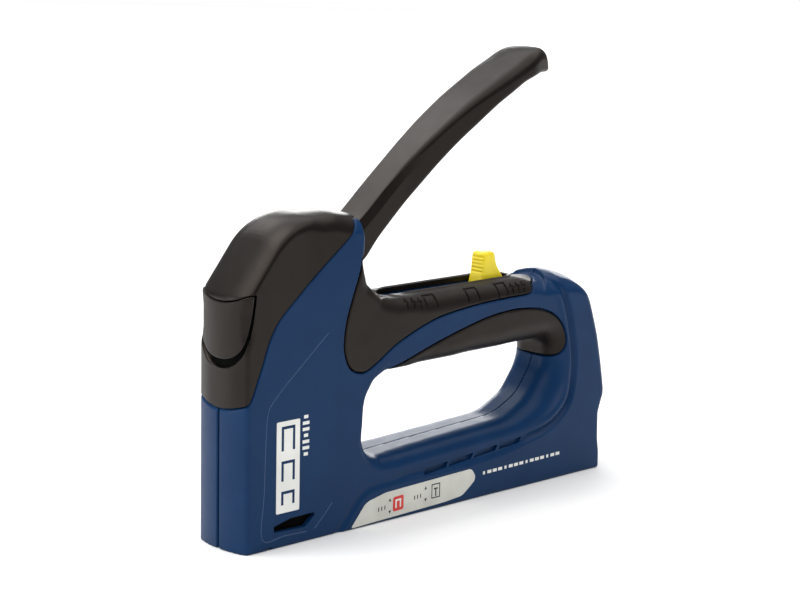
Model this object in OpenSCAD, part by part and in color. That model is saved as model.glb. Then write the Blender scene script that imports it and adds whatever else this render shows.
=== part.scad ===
// Hand staple gun: two-shell housing, squeeze lever, leaf-spring driver and rear-loading magazine.
// X runs from the nose (-) to the rear (+), Y across the tool, Z up from the base.

/* [Body] */
// Overall length from the nose to the rear bulge
body_len = 196; // [195:0.5:197]
// Overall width across both shells
body_w = 29; // [28.5:0.5:30]
// Thickness of the housing walls
wall = 2.4; // [2.2:0.1:2.6]
// Gap left at the seam between the two shells
seam_gap = 0.1; // [0.05:0.05:0.2]

/* [Lever] */
// Distance of the lever pivot from the middle of the tool, towards the nose
pivot_back = 60; // [59.5:0.5:60.5]
// Height of the lever pivot
pivot_z = 86; // [85.5:0.5:86.5]
// Radius of the pivot pin
pin_r = 3; // [2.8:0.1:3.2]
// Half-width of the lever where it leaves the head
lever_root_w = 7.6; // [7.2:0.1:7.8]
// Half-width of the lever at its tip
lever_tip_w = 12.6; // [11:0.1:13]
// Wall of the moulded lever
lever_wall = 2.2; // [1.8:0.1:2.4]
// Reach of the lift roller from the pivot
nose_arm = 29; // [28.5:0.1:29.2]
// How far below level the roller hangs at rest, in degrees
nose_drop = 19; // [18:0.5:20]
// Radius of the lift roller
roller_r = 2.6; // [2.4:0.1:2.7]

/* [Driver and magazine] */
// Width of the driver blade and of a staple's crown
crown_w = 11; // [10.6:0.1:11.4]
// Thickness of the driver blade
blade_t = 1.2; // [1:0.1:1.3]
// Length of the staple legs
leg_len = 14; // [10:1:14]
// Length of the staple strip that is loaded
strip_len = 78; // [40:1:80]
// Wall of the magazine channel
channel_t = 1; // [0.8:0.1:1]

/* [Force slider] */
// Place of the slider knob at the weak setting
knob_x = 37; // [35:0.5:37.5]
// Height of the knob's top
knob_top = 97; // [94:0.5:97]
// Length of the slot in the grip
slot_len = 68; // [66:1:69]

/* [Hidden] */
$fn = 48;

half = body_w / 2;              // half-width of the housing
nose_x = -body_len / 2;         // foremost point
rear_x = body_len / 2;          // rearmost point
skin = half - wall;             // where the side walls begin
pivot = [-pivot_back, pivot_z]; // lever pivot in the side view
fit = 0.05;                     // radial running clearance of pins
gap = 0.3;                      // clearance between pieces that slide past each other
inset = 2.2;                    // thickness of the grip pieces let into the shells
core = half - inset;            // half-width of the shells under the grip pieces
bar_skin = core - wall;         // half-width of the space inside the grip
bar_roof = 81.2;                // underside of the shells' roof over the grip
channel_half = 7;               // half-width of the magazine channel
channel_top = 17.2;             // top of the magazine channel
bed_top = 18;                   // top of the solid bed beside the magazine
floor_z = 0.3;                  // underside of the magazine channel
blade_x = nose_x + 4.7;         // front face of the driver blade
blade_z = 0.6;                  // bottom of the driver blade at rest
tab_t = 1.4;                    // thickness of the lift tab on the blade
nose_pt = pivot - nose_arm * [cos(nose_drop), sin(nose_drop)];
tab_z = nose_pt[1] + roller_r + 0.15; // underside of the lift tab
lever_slot = 8.3;               // half-width of the lever's slot in the head
slot_x = [-20, -20 + slot_len]; // ends of the slider slot
slot_half = 5.5;                // half-width of the slider slot
grip_top = 86;                  // height of the grip's top surface
core_plate = 2;                 // thickness of each side plate of the lever core
core_half = lever_root_w - lever_wall - 0.2; // outer half-width of the lever core
roller_half = core_half - core_plate - 0.2;  // half-width of the lift roller
leaf_t = 2.4;                   // thickness of the main leaf
leaf_half = 5;                  // half-width of the leaves
leaf_z = 71;                    // height of the flat stretch of the leaf spring
leaf_end = 71;                  // rear end of the leaves
rod_z = 8;                      // height of the pusher rod
rod_r = 2;                      // radius of the pusher rod
follower_len = 14;              // length of the staple follower
strip_x = blade_x + blade_t + 0.2;       // front of the staple strip
strip_end = strip_x + strip_len;         // rear of the staple strip
crown_z = floor_z + channel_t + 0.1 + leg_len; // top of the staples' crowns
coil_r = 3.6;                   // outer radius of the follower spring
coil_wire = 0.45;               // wire radius of the springs
thin = 0.3;                     // thickness of the labels
big = 300;                      // longer than the tool, for cuts that run through

// --- helpers -------------------------------------------------------------------------------

// Unit vector
function unit(v) = v / norm(v);

// Points of one rounded corner at b, between neighbours a and c. Its radius is largest, or as much
// of it as half of each neighbouring edge leaves room for.
function corner(a, b, c, largest) =
  let (u = unit(a - b), v = unit(c - b), turn = acos(max(-1, min(1, u * v))) / 2)
  (largest <= 0 || turn > 89.5) ? [b] :
  let (reach = min(largest / tan(turn), 0.49 * min(norm(a - b), norm(c - b))), r = reach * tan(turn),
       centre = b + unit(u + v) * r / sin(turn), s = b + u * reach - centre,
       e = b + v * reach - centre, a0 = atan2(s[1], s[0]), raw = atan2(e[1], e[0]) - a0,
       sweep = raw > 180 ? raw - 360 : (raw < -180 ? raw + 360 : raw),
       n = max(2, ceil(abs(sweep) / 9)))
  [for (i = [0:n]) centre + r * [cos(a0 + sweep * i / n), sin(a0 + sweep * i / n)]];

// Outline with rounded corners from a list of [x, z, radius]
function rounded(p) =
  let (n = len(p))
  [for (i = [0:n - 1]) let (a = p[(i + n - 1) % n], b = p[i], c = p[(i + 1) % n])
    each corner([a[0], a[1]], [b[0], b[1]], [c[0], c[1]], b[2])];

// Side-view outline (x, z) made into a slab that spans y0 to y1
module slab(points, y0, y1)
  translate([0, y1, 0]) rotate([90, 0, 0]) linear_extrude(y1 - y0) polygon(points);

// Box given by its lowest and highest corners
module block(lo, hi) translate(lo) cube(hi - lo);

// Cylinder along Y at a point of the side view
module bar(at, r, y0, y1)
  translate([at[0], y0, at[1]]) rotate([-90, 0, 0]) cylinder(r = r, h = y1 - y0);

// --- outlines ------------------------------------------------------------------------------

// Whole housing in the side view
body_line = rounded([[nose_x, 0, 1.5], [nose_x, 95, 0.8], [-75.8, 121.7, 20], [-52, 121.7, 25],
  [-38, 118.5, 4], [-40, 104, 8], [-38.6, grip_top, 15], [45, 86.6, 30], [70, 87.2, 12],
  [84.5, 82.6, 14], [93.6, 57, 60], [rear_x, 34.5, 2], [rear_x, 31.5, 2], [95, 24, 3],
  [95.5, 0, 1.5]]);

// Inside of the housing
inner_line = rounded([[-95.3, -5, 0], [-95.3, 95.9, 1], [-75.2, 118.9, 14], [-52, 118.9, 22],
  [-42.5, 117, 2], [-43, 100, 6], [-41.5, bar_roof, 10], [45, bar_roof, 0], [64, 83, 8],
  [78, 82, 7], [89, 60, 55], [94.4, 33, 3], [92.4, 24, 3], [92.4, -5, 0]]);

// Inside of the housing in plan: narrower behind the rounded nose
inner_plan = [[-95.3, -9], [-95.3, 9], [-91.6, skin], [big, skin], [big, -skin], [-91.6, -skin]];

// Finger opening, and the wall around it
hole_line = rounded([[-39.4, 24.8, 11], [-39.4, 58.5, 14], [66.8, 59, 10], [66.8, 47.5, 16],
  [57.5, 35.2, 18], [44, 28.7, 30]]);
hole_wall_line = rounded([[-43, 22.4, 15], [-43, 63.1, 16], [71.1, 63.1, 12], [71.1, 44.5, 16],
  [60.5, 31, 18], [46, 24.4, 30]]);

// Head cap: everything in front of and above its seam
cap_line = rounded([[-110, 53.5, 0], [-96, 53.5, 4], [-86, 81, 25], [-44.6, 116, 30],
  [-44.2, 118, 0], [-30, 118, 0], [-30, 135, 0], [-110, 135, 0]]);

// Upper grip cover and lower grip pad
cover_line = rounded([[-40.3, 104, 0], [-46, 90, 20], [-51.5, 71, 12], [-45, 56.5, 6],
  [-22, 70.5, 40], [10, 79.5, 60], [53, 80.3, 3], [53, 95, 0], [-30, 95, 0], [-30, 104, 0]]);
pad_line = rounded([[-26, 55, 0], [-26, 58.6, 0], [38, 79, 48], [74, 71, 14], [72, 50.5, 4],
  [60, 50.5, 0], [60, 55, 0]]);

// Plan view: arched nose, rounded corners at the front and rear
plan_line = let (arch = 38.9, edge = 3.2, steps = 10, reach = asin((half - edge) / arch))
  concat([for (i = [-steps:steps]) [nose_x + arch - arch * cos(reach * i / steps),
    arch * sin(reach * i / steps)]],
  rounded([[nose_x + edge + 1.2, half, 3], [rear_x, half, 3], [rear_x, -half, 3],
    [nose_x + edge + 1.2, -half, 3]]));

// Lever in the side view, from its root in the head to the tip, and the hollow inside
lever_line = rounded([[-49, 98, 6], [-46, 111, 10], [-34, 119.6, 60], [8, 152.8, 140],
  [45, 174, 100], [57.5, 179.8, 12], [67, 174, 4], [65, 168.9, 2.5], [47, 165.8, 90],
  [2, 135.6, 130], [-34, 101.6, 60]]);
hollow_line = rounded([[-60, 80, 0], [-60, 92, 0], [-34, 116.2, 50], [8, 149.6, 130],
  [46, 171.5, 20], [50, 166, 0], [48, 160, 0], [2, 130, 100], [-34, 95, 40]]);

// Half-width of the lever along the tool, as a plan outline
module lever_plan(trim)
  linear_extrude(big) polygon(rounded([[-70, lever_root_w - trim, 0],
    [-14, lever_root_w - trim, 60], [40, lever_tip_w - trim, 60], [67 - trim, lever_tip_w - trim, 12],
    [67 - trim, trim - lever_tip_w, 12], [40, trim - lever_tip_w, 60],
    [-14, trim - lever_root_w, 60], [-70, trim - lever_root_w, 0]]));

// Middle of the main leaf: flat over the grip, then falling in a parabola to the driver
function leaf_mid(x) = leaf_z - (x < -5 ? 5.7 * pow((x + 5) / 88, 2) : 0);
function leaf_band(x0, x1, lift, t, n = 16) = concat(
  [for (i = [0:n]) let (x = x0 + (x1 - x0) * i / n) [x, leaf_mid(x) + lift]],
  [for (i = [n:-1:0]) let (x = x0 + (x1 - x0) * i / n) [x, leaf_mid(x) + lift + t]]);

// Places of the five housing screws in the side view
screws = [[-84, 30], [-48, 40], [-12, 21], [84, 27], [80, 70]];

// --- housing -------------------------------------------------------------------------------

// The room that the head cap, the cover and the pad take from the shells on one side
module trimmed() {
  slab(cap_line, -big, big);
  difference() {
    slab(cover_line, -big, big);
    cover_core(0);
  }
  difference() {
    slab(pad_line, -big, big);
    pad_core(0);
  }
}

// What stays of the shells under the cover and behind the pad, with room all round
module cover_core(room)
  block([-60, -core - room, 40], [60, core + room, grip_top - inset - 0.1 + room]);
module pad_core(room) {
  block([-60, -core - room, 58.5 + inset - room], [90, core + room, 90]);
  block([66.5 + inset - room, -core - room, 40], [90, core + room, 90]);
}

// Space inside the housing: wide above the magazine bed, narrow beside the magazine
module inside() {
  difference() {
    intersection() {
      slab(inner_line, -skin, skin);
      linear_extrude(big) polygon(inner_plan);
      block([-big, -big, bed_top], [big, big, big]);
    }
    slab(hole_wall_line, -big, big);
    for (s = [-1, 1])
      block([-44, s < 0 ? -skin - 1 : bar_skin, 56], [74, s < 0 ? -bar_skin : skin + 1, 95]);
  }
  block([-95.3, -channel_half - gap, -1], [rear_x + 1, channel_half + gap, bed_top + 0.1]);
}

// Slot that lets the lever swing down between the cheeks, deeper where its core passes
module lever_way() {
  block([-62, -lever_slot, grip_top - 2.6], [-19, lever_slot, 117.6]);
  block([-62, -lever_slot, 79], [-33.5, lever_slot, 90]);
}

// Low louvres in the side, four in a row
module louvres()
  for (i = [0:3])
    slab([for (p = [[-7.2, 14.5], [5, 15.3], [6.6, 17.7], [-5.6, 16.9]]) p + i * [13.9, 1.07]],
      -big, big);

// Places of the two anchor pins in the side view
anchor_at = [[63.5, 75.4], [68.5, 66]];

// Staple window near the nose
window_line = rounded([[-83, 6.2, 0.5], [-83, 8.6, 0.5], [-75, 10.6, 3], [-61.5, 10.8, 0.8],
  [-68, 5.6, 2]]);
label_line = rounded([[-46, 0.6, 0.3], [-38, 9.5, 6], [-28, 11.6, 10], [18.4, 12.9, 2.6],
  [21.7, 8.4, 3.2], [13.6, 2.5, 6], [4, 1.7, 8]]);
name_line = rounded([[-82, 13, 0.6], [-82, 47.5, 0.6], [-71, 47.5, 0.6], [-71, 13, 0.6]]);

// One housing shell; s is -1 for the left shell and 1 for the right
module shell(s) {
  y0 = s < 0 ? -half : seam_gap / 2;
  y1 = s < 0 ? -seam_gap / 2 : half;
  difference() {
    union() {
      difference() {
        intersection() {
          slab(body_line, y0, y1);
          linear_extrude(big) polygon(plan_line);
        }
        trimmed();
        inside();
        slab(hole_line, -big, big);
      }
      bosses(y0, y1);
    }
    lever_way();
    bar(pivot, pin_r + fit, -half + 2, half - 2);
    for (p = anchor_at) bar(p, 1.7 + fit, -core + 0.8, core - 0.8);
    block([slot_x[0], -slot_half, 80], [slot_x[1], slot_half, 90]);
    for (f = [-1, 1]) {
      translate([0, f * (big + half - 1.2), 0]) louvres();
      slab(window_line, f > 0 ? half - 5 : -big, f > 0 ? big : 5 - half);
      slab(label_line, f > 0 ? half - thin : -big, f > 0 ? big : thin - half);
      slab(name_line, f > 0 ? half - thin : -big, f > 0 ? big : thin - half);
    }
    for (p = screws) {
      bar(p, 1.6, -half + 3, half + 1);
      bar(p, 3.3, half - 2.2, half + 1);
    }
  }
}

// Bosses for the screws and the lever pivot on one shell
module bosses(y0, y1) {
  out = y0 < -1 ? -1 : 1;
  for (p = screws) bar(p, 3.6, y0 < -1 ? y0 + 1 : y0, y0 < -1 ? y1 : y1 - 1);
  bar(pivot, 7, out > 0 ? lever_slot : -half + 1, out > 0 ? half - 1 : -lever_slot);
}

module housing_left() color([0.15, 0.24, 0.39]) shell(-1);
module housing_right() color([0.15, 0.24, 0.39]) shell(1);

// Black cap over the head, with a recess in front for the insert
module head_cap() color([0.19, 0.17, 0.16])
  difference() {
    intersection() {
      slab(body_line, -half, half);
      linear_extrude(big) polygon(plan_line);
      translate([-seam_gap, 0, seam_gap]) slab(cap_line, -half, half);
    }
    intersection() {
      slab(inner_line, -skin, skin);
      linear_extrude(big) polygon(inner_plan);
    }
    block([nose_x - 1, -10.7, 71], [nose_x + 2, 10.7, 93]);
    lever_way();
  }

// Separate black piece let into the front of the cap
module front_insert() color([0.21, 0.19, 0.18])
  intersection() {
    block([nose_x + 0.2, -10.5, 71.2], [nose_x + 1.9, 10.5, 92.8]);
    translate([0.2, 0, 0]) linear_extrude(big) polygon(plan_line);
  }

// Saddle-shaped cover on top of the grip, slotted for the force slider
module grip_cover() color([0.20, 0.18, 0.17])
  difference() {
    intersection() {
      slab(body_line, -half, half);
      slab(cover_line, -half, half);
    }
    cover_core(0.05);
    lever_way();
    block([slot_x[0], -slot_half, 80], [slot_x[1], slot_half, 90]);
    slab(hole_line, -big, big);
  }

// Soft pad under the grip, wrapped round the roof of the finger opening
module grip_pad() color([0.21, 0.19, 0.18])
  difference() {
    intersection() {
      slab(body_line, -half, half);
      slab(pad_line, -half, half);
    }
    pad_core(0.05);
    slab(hole_line, -big, big);
  }

// Thin labels on the outside of a shell
module side_mark(points, s)
  slab(points, s < 0 ? -half : half - thin, s < 0 ? thin - half : half);
module name_block_left() color([0.95, 0.95, 0.93]) side_mark(name_line, -1);
module name_block_right() color([0.95, 0.95, 0.93]) side_mark(name_line, 1);
module side_label_left() color([0.83, 0.83, 0.80]) side_mark(label_line, -1);
module side_label_right() color([0.83, 0.83, 0.80]) side_mark(label_line, 1);

// Five screws that close the housing from the right
module housing_screws() color([0.55, 0.56, 0.58])
  for (p = screws)
    difference() {
      union() {
        bar(p, 1.5, -half + 3.5, half - 2);
        bar(p, 3.1, half - 2.1, half - 0.3);
      }
      translate([p[0] - 2.2, half - 1.3, p[1] - 0.4]) cube([4.4, 3, 0.8]);
      translate([p[0] - 0.4, half - 1.3, p[1] - 2.2]) cube([0.8, 3, 4.4]);
    }

// --- mechanism fixed to the housing ----------------------------------------------------------

module pivot_pin() color([0.70, 0.71, 0.73]) bar(pivot, pin_r, -half + 2.1, half - 2.1);

// Torsion spring on the pivot, beside the lever core
module return_spring() color([0.62, 0.63, 0.65])
  for (i = [0:2])
    translate([pivot[0], 0, pivot[1]]) rotate([90, 0, 0]) translate([0, 0, -1.2 + i * 1.2])
      rotate_extrude() translate([pin_r + 1.2, 0]) circle(r = coil_wire, $fn = 16);

// Hardened plate inside the nose that the blade slides down
module nose_plate() color([0.62, 0.63, 0.65])
  block([nose_x + 2.8, -7.2, 0.2], [blade_x - 0.1, 7.2, 70]);

// Guide behind the blade, open below for the staples and above for the spring
module driver_guide() color([0.50, 0.51, 0.53]) {
  block([blade_x + blade_t + 0.1, -8, 20], [blade_x + blade_t + 2.6, 8, 54]);
  for (s = [-1, 1])
    block([blade_x, s * 7 - 1, 20], [blade_x + blade_t + 0.2, s * 7 + 1, 54]);
}

// Rubber block that the leaf spring lands on
module rubber_damper() color([0.12, 0.12, 0.12])
  block([blade_x + blade_t + 0.4, -5.5, 54.2], [blade_x + blade_t + 8, 5.5, 64]);

// Long leaf: its front tongue works in the window of the blade
module main_leaf_spring() color([0.35, 0.37, 0.42]) {
  slab(leaf_band(-88, leaf_end, -leaf_t / 2, leaf_t), -leaf_half, leaf_half);
  slab(leaf_band(blade_x + 0.2, -88, -leaf_t / 2, leaf_t, 2), -3, 3);
}

// Shorter leaf under the long one
module helper_leaf_spring() color([0.38, 0.40, 0.45])
  slab(leaf_band(-58, leaf_end, -leaf_t / 2 - 1.9, 1.8), -leaf_half, leaf_half);

// Steel block that clamps the rear ends of the leaves
module spring_anchor() color([0.45, 0.46, 0.48])
  difference() {
    block([60, -9, 63.6], [73, 9, 78]);
    block([55, -leaf_half - 0.1, leaf_z - leaf_t / 2 - 2], [leaf_end + 0.1, leaf_half + 0.1,
      leaf_z + leaf_t / 2 + 0.1]);
    for (p = anchor_at) bar(p, 1.7 + fit, -20, 20);
  }

// Pins that hold the anchor block between the shells
module anchor_pins() color([0.70, 0.71, 0.73])
  for (p = anchor_at) bar(p, 1.7, -core + 0.9, core - 0.9);

// Slotted steel rail that the force slider runs along
module slider_rail() color([0.60, 0.61, 0.63])
  difference() {
    block([-26, -9, 79], [60, 9, 80.4]);
    block([slot_x[0], -3.1, 78], [slot_x[1], 3.1, 82]);
  }

// Box-section channel that holds the staples
module magazine_channel() color([0.62, 0.63, 0.65])
  difference() {
    block([blade_x + blade_t + 0.1, -channel_half, floor_z], [92, channel_half, channel_top]);
    block([-big, -channel_half + channel_t, floor_z + channel_t], [big, channel_half - channel_t,
      channel_top - channel_t]);
  }

// Strip of glued staples: one crown plate with two rows of legs
module staple_strip() color([0.72, 0.73, 0.74])
  difference() {
    block([strip_x, -crown_w / 2, crown_z - leg_len], [strip_end, crown_w / 2, crown_z]);
    block([-big, -crown_w / 2 + 1.2, 0], [big, crown_w / 2 - 1.2, crown_z - 0.7]);
  }

// --- lever ------------------------------------------------------------------------------------

// Hollow moulded lever, open underneath
module lever_shell() color([0.20, 0.18, 0.17])
  difference() {
    intersection() {
      slab(lever_line, -20, 20);
      lever_plan(0);
    }
    intersection() {
      slab(hollow_line, -20, 20);
      lever_plan(lever_wall);
    }
    for (p = rivets) bar(p, 1.5 + fit, -core_half - 0.9, core_half + 0.9);
  }

// Steel core: two side plates and a web, from the roller to the inside of the lever
core_line = concat(
  [for (i = [0:12]) let (a = 109 + 180 * i / 12) nose_pt + 2.4 * [cos(a), sin(a)]],
  rounded([[-62, 77.4, 8], [-50, 80, 8], [-38, 98.5, 20], [-24, 111, 0], [-28, 117, 0],
    [-40, 108, 16], [-62, 94.5, 8]]));
rivets = [[-38, 103.5], [-30.5, 110]];
module lever_core() color([0.58, 0.59, 0.61])
  difference() {
    union() {
      for (s = [-1, 1])
        slab(core_line, s > 0 ? core_half - core_plate : -core_half,
          s > 0 ? core_half : core_plate - core_half);
      intersection() {
        slab(core_line, -core_half, core_half);
        slab([[-41, 108.6], [-39, 105.8], [-26, 114.6], [-28, 117.6]], -core_half, core_half);
      }
    }
    bar(pivot, pin_r + fit, -20, 20);
    bar(nose_pt, 1.25, -20, 20);
    for (p = rivets) bar(p, 1.5 + fit, -20, 20);
  }

// Rivets that fix the core inside the lever
module core_rivets() color([0.70, 0.71, 0.73])
  for (p = rivets) bar(p, 1.5, -core_half - 0.8, core_half + 0.8);

module lift_roller() color([0.75, 0.76, 0.78])
  difference() {
    bar(nose_pt, roller_r, -roller_half, roller_half);
    bar(nose_pt, 1.25, -20, 20);
  }
module roller_pin() color([0.70, 0.71, 0.73]) bar(nose_pt, 1.2, -core_half, core_half);

// --- driver -----------------------------------------------------------------------------------

// Blade with a window for the leaf spring and a tab over the lift roller
module driver_blade() color([0.66, 0.67, 0.70])
  difference() {
    union() {
      block([blade_x, -crown_w / 2, blade_z], [blade_x + blade_t, crown_w / 2, tab_z + tab_t]);
      block([blade_x, -roller_half, tab_z], [blade_x + 7.5, roller_half, tab_z + tab_t]);
    }
    block([-big, -3.6, leaf_mid(-93) - 1.7], [blade_x + blade_t + 0.1, 3.6, leaf_mid(-93) + 1.9]);
  }

// --- force slider -----------------------------------------------------------------------------

// Yellow knob with a foot that flares to the rear, and ribs across its front face
module slider_knob() color([0.98, 0.80, 0.12])
  translate([knob_x, 0, 0])
    difference() {
      slab(rounded([[-5.2, 80.7, 0.3], [-5.2, 84, 1], [-3.9, 89.4, 3], [-3.3, knob_top, 1.5],
        [2.7, knob_top, 1.5], [3.7, 91.6, 4], [7.2, 86.6, 2], [7.6, 80.7, 0.3]]), -4, 4);
      for (i = [0:4]) block([-4.2, -3, 88.6 + i * 1.5], [-3.2, 3, 89.3 + i * 1.5]);
    }

// Steel shoe under the rail: the movable support of the leaf spring
module fulcrum_shoe() color([0.52, 0.53, 0.55])
  translate([knob_x, 0, 0]) {
    block([-2.5, -2.8, 78.8], [2.5, 2.8, 80.7]);
    slab(rounded([[-9, 78.8, 0], [9, 78.8, 0], [9, 75, 2], [3, 72.5, 3], [-3, 72.5, 3], [-9, 75, 2]]),
      -7.5, 7.5);
  }

// Small sprung strip that clicks the slider into its settings
module detent_spring() color([0.62, 0.63, 0.65])
  translate([knob_x, 0, 0]) block([-6, 7.5, 76], [6, 8, 78.6]);

// --- magazine pusher --------------------------------------------------------------------------

module pusher_rod() color([0.70, 0.71, 0.73])
  translate([strip_x + 8, 0, rod_z]) rotate([0, 90, 0]) cylinder(r = rod_r, h = 92.4 - strip_x - 8);

// Grip at the rear end of the magazine
module pusher_knob() color([0.20, 0.18, 0.17])
  difference() {
    slab(rounded([[92.4, 1, 0.5], [92.4, 16.4, 0.5], [97.2, 15, 2], [97.2, 2.6, 2]]), -6.6, 6.6);
    for (i = [0:3]) block([96.4, -5, 4 + i * 2.8], [99, 5, 5 + i * 2.8]);
  }

// Spring latch on the pusher knob
module pusher_latch() color([0.62, 0.63, 0.65])
  block([84, -4, 14.9], [92.4, 4, 15.7]);

// --- follower ---------------------------------------------------------------------------------

// U-shaped follower that pushes the staples along
module staple_follower() color([0.58, 0.59, 0.61])
  difference() {
    block([strip_end + 0.2, -crown_w / 2, floor_z + channel_t + 0.3],
      [strip_end + follower_len, crown_w / 2, crown_z]);
    translate([-big, 0, rod_z]) rotate([0, 90, 0]) cylinder(r = rod_r + fit, h = 2 * big);
  }

// Coil spring on the rod between the follower and the knob
module follower_spring() color([0.62, 0.63, 0.65]) {
  first = strip_end + follower_len + coil_wire + 0.1;
  last = 83;
  turns = 16;
  for (i = [0:turns])
    translate([first + (last - first) * i / turns, 0, rod_z]) rotate([0, 90, 0])
      rotate_extrude() translate([coil_r - coil_wire, 0]) circle(r = coil_wire, $fn = 16);
}

housing_left();
housing_right();
head_cap();
front_insert();
grip_cover();
grip_pad();
name_block_left();
name_block_right();
side_label_left();
side_label_right();
housing_screws();
pivot_pin();
return_spring();
nose_plate();
driver_guide();
rubber_damper();
main_leaf_spring();
helper_leaf_spring();
spring_anchor();
anchor_pins();
slider_rail();
magazine_channel();
staple_strip();
lever_shell();
lever_core();
core_rivets();
lift_roller();
roller_pin();
driver_blade();
slider_knob();
fulcrum_shoe();
detent_spring();
pusher_rod();
pusher_knob();
pusher_latch();
staple_follower();
follower_spring();
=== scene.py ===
"""Hand staple gun: the visual model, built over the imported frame. Shapes are worked out in
millimetres as fields of signed distance and turned into meshes in metres."""
import math
from itertools import product

import bmesh
import bpy
import numpy as np
from mathutils import Matrix, Vector


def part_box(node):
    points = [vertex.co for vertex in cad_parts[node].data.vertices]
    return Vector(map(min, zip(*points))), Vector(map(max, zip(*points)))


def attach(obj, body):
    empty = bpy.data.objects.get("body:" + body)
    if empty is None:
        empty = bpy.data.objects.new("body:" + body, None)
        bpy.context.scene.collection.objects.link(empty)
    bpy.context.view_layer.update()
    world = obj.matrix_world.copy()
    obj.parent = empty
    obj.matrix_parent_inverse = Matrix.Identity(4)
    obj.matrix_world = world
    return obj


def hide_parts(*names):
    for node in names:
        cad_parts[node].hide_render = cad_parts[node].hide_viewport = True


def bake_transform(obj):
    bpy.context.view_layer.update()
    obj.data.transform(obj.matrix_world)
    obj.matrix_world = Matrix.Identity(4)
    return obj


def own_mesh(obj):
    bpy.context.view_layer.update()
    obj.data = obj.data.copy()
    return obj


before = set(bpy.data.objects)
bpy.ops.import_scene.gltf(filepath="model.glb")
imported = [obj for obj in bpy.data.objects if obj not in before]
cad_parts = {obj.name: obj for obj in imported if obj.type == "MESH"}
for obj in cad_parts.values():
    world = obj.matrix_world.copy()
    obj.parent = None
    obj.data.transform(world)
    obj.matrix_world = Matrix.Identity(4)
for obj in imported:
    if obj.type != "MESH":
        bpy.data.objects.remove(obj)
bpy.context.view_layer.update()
MM = 0.001
FINE = 1.0

# ---------------------------------------------------------------- sizes, in millimetres

NOSE_X = -98
NOSE_ARCH = 38.9  # radius of the nose, seen from above
HALF_WIDTH = 13.95  # of the housing's flat sides
WALL = 1.8  # of the housing
RECESS = 1.8  # depth round the front insert
HEAD_DROP, REAR_DROP = 3.7, 4.4  # how far the crowned head and grip end fall at their sides
GRIP_STEP = 2.0  # down from the rear of the housing to the grip
LET_IN = 2.2  # depth that the grip's pieces are let into the shells
GAP = 0.3  # between a piece let in and the shells
TRIM = 0.24  # that the piece itself stays behind its seam
BED_HALF = 8.4  # of the bed that the lever swings down in
SLOT_X = (-20, 48)  # ends of the slot that the knob slides in
SLOT_HALF = 5.5  # of its width
KNOB_X = 37
SCREWS = [(-84, 30), (-48, 40), (-12, 21), (84, 27), (80, 70)]
SCREW_HOLE = 3.3  # radius
NAME_Y, LABEL_Y, PRINT_Y = 13.8, 14.12, 14.42  # inner faces of the printed pieces
PIVOT = (-60, 0, 86)  # of the lever
ROD_Z = 8  # height of the pusher's rod
COIL_WIRE = .45  # radius
LEAF_Z = 71  # middle of the main leaf over the grip
LEAF_FALL, LEAF_REACH = 5.7, 88  # of the parabola in front of LEAF_BEND
LEAF_BEND = -5
LEAF_HALF, TONGUE_HALF = 5, 2.95
TONGUE_X = -45  # the leaves are TONGUE_HALF wide in front of this

# ---------------------------------------------------------------- outlines


def corner(a, b, c, largest):
    """Points of one rounded corner at b; the radius is as large as half of each edge allows."""
    u, v = (a - b) / np.linalg.norm(a - b), (c - b) / np.linalg.norm(c - b)
    turn = math.acos(max(-1.0, min(1.0, float(u @ v)))) / 2
    if largest <= 0 or turn > 1.56:
        return [b]
    reach = min(largest / math.tan(turn), 0.49 * min(np.linalg.norm(a - b), np.linalg.norm(c - b)))
    radius = reach * math.tan(turn)
    centre = b + (u + v) / np.linalg.norm(u + v) * radius / math.sin(turn)
    s, e = b + u * reach - centre, b + v * reach - centre
    start = math.atan2(s[1], s[0])
    sweep = (math.atan2(e[1], e[0]) - start + math.pi) % (2 * math.pi) - math.pi
    n = max(2, math.ceil(abs(sweep) / 0.09))
    turns = [start + sweep * i / n for i in range(n + 1)]
    return [centre + radius * np.array([math.cos(t), math.sin(t)]) for t in turns]


def rounded(points):
    """Outline with rounded corners from a list of (x, z, radius)."""
    p = [np.array(q[:2], float) for q in points]
    out = []
    for i, q in enumerate(points):
        out += corner(p[i - 1], p[i], p[(i + 1) % len(p)], q[2])
    return np.array(out)


def flowing(points, steps=5):
    """Smooth open line through the points."""
    p = np.array([points[0]] + list(points) + [points[-1]], float)
    out = []
    for a, b, c, d in zip(p, p[1:], p[2:], p[3:]):
        for i in range(steps):
            t = i / steps
            out.append(0.5 * (2 * b + (c - a) * t + (2 * a - 5 * b + 4 * c - d) * t ** 2
                              + (3 * b - a - 3 * c + d) * t ** 3))
    return np.array(out + [p[-1]])


# Housing, nose to the left
BODY = rounded([(-98, 0, .8), (-98, 93.6, .8), (-75.8, 121.7, 22), (-52, 121.7, 25),
                (-38.6, 119.2, 4), (-40, 104.5, 5), (-38.9, 99.5, 5), (-36.4, 93.4, 7),
                (-31.2, 88.5, 9), (-21, 86.3, 20), (45, 86.6, 30), (70, 86.7, 12),
                (84.5, 82.6, 14), (93.6, 57, 60), (98, 34.5, 2), (98, 31.5, 2), (95, 24, 3),
                (95.5, 0, 1)])
HOLE = rounded([(-39.4, 24.8, 11), (-39.4, 58.4, 14), (66.8, 59.2, 10), (66.8, 47.5, 16),
                (57.5, 35.2, 18), (44, 28.7, 30)])
CAVITY = rounded([(-95.3, -5, 0), (-95.3, 95.9, 1), (-75.2, 118.5, 7), (-52, 118.7, 22),
                  (-42.5, 117, 2), (-43, 100, 6), (-41.5, 81.2, 10), (45, 81.2, 0), (64, 83, 8),
                  (78, 82, 7), (89, 60, 55), (94.4, 33, 3), (92.4, 24, 3), (92.4, -5, 0)])
HOLE_WALL = rounded([(-43, 22.4, 15), (-43, 63.1, 16), (71.1, 63.1, 12), (71.1, 44.5, 16),
                     (60.5, 31, 18), (46, 24.4, 30)])
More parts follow.
